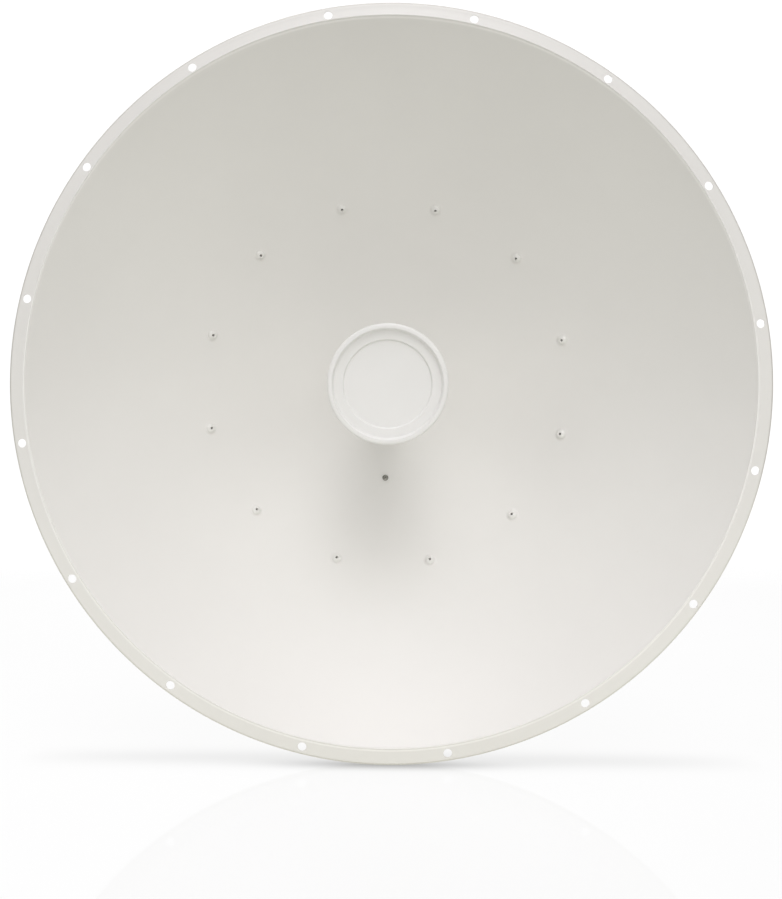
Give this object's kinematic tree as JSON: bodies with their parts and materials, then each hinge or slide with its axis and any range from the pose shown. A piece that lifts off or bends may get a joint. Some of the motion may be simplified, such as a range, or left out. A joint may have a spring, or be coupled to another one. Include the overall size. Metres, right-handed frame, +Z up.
{
  "type": "dish antenna",
  "caption": "Front-fed parabolic dish antenna with a flanged rim, capped feed, riveted back ring and a tilting bracket that clamps to a pole.",
  "frame": {"origin": "middle of the flat pole face, the back of the pole bracket, level with the dish's axis", "axes": "+Y out of the pole face towards the pole, so the dish looks along -Y; +Z up; +X to the right as seen from the front"},
  "size_m": [1.05, 0.5262, 1.05],
  "materials": {
    "powder_coat": "warm white powder coat with a fine texture on sheet steel",
    "plastic": "white moulded plastic, satin",
    "bracket_coat": "light powder coat on folded steel plate",
    "cast_metal": "cast aluminium, lightly blasted",
    "zinc_steel": "zinc plated steel",
    "port_metal": "nickel plated"
  },
  "bodies": {
    "root": {"reflector": "powder_coat", "back_ring": "powder_coat", "feed_cap": "plastic", "feed_cone": "plastic", "feed_tube": "plastic", "feed_flange": "plastic", "feed_collar": "cast_metal", "feed_block": "cast_metal", "rf_port_left": "port_metal", "rf_port_right": "port_metal", "radio_plate": "bracket_coat", "cheek_left": "bracket_coat", "cheek_right": "bracket_coat", "pole_bracket": "bracket_coat", "saddle_upper": "bracket_coat", "saddle_lower": "bracket_coat", "jaw_upper": "bracket_coat", "jaw_lower": "bracket_coat", "pivot_bolt_left": "zinc_steel", "pivot_bolt_right": "zinc_steel", "elevation_bolt_left": "zinc_steel", "elevation_bolt_right": "zinc_steel", "barrel_front": "zinc_steel", "barrel_rear": "zinc_steel", "elevation_rod": "zinc_steel", "clamp_bolt_upper_left": "zinc_steel", "clamp_bolt_upper_right": "zinc_steel", "clamp_bolt_lower_left": "zinc_steel", "clamp_bolt_lower_right": "zinc_steel"}
  },
  "joints": []
}
